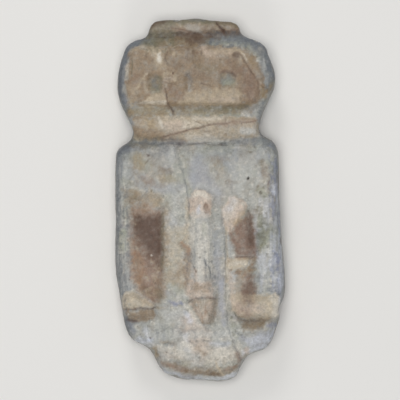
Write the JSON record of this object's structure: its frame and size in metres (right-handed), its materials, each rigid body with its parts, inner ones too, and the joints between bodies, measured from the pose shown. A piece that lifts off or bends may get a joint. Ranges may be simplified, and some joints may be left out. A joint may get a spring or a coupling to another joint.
{
  "type": "owl effigy",
  "caption": "Abstract owl figure carved in low relief from a stone slab: broad head with pitted eyes, collar, legs with turned-out feet and a central tail. It lies on its flat back.",
  "frame": {"origin": "middle of the outline, on the flat underside that the figure lies on", "axes": "+Y from the base to the crown, +Z out of the carved face, +X to the right of someone who looks at the face"},
  "size_m": [0.122, 0.2604, 0.0387],
  "materials": {
    "stone": "worn, half-matt grey stone with blue-grey edges, cream raised parts and iron-brown stains"
  },
  "bodies": {
    "root": {"owl_effigy": "stone"}
  },
  "joints": []
}
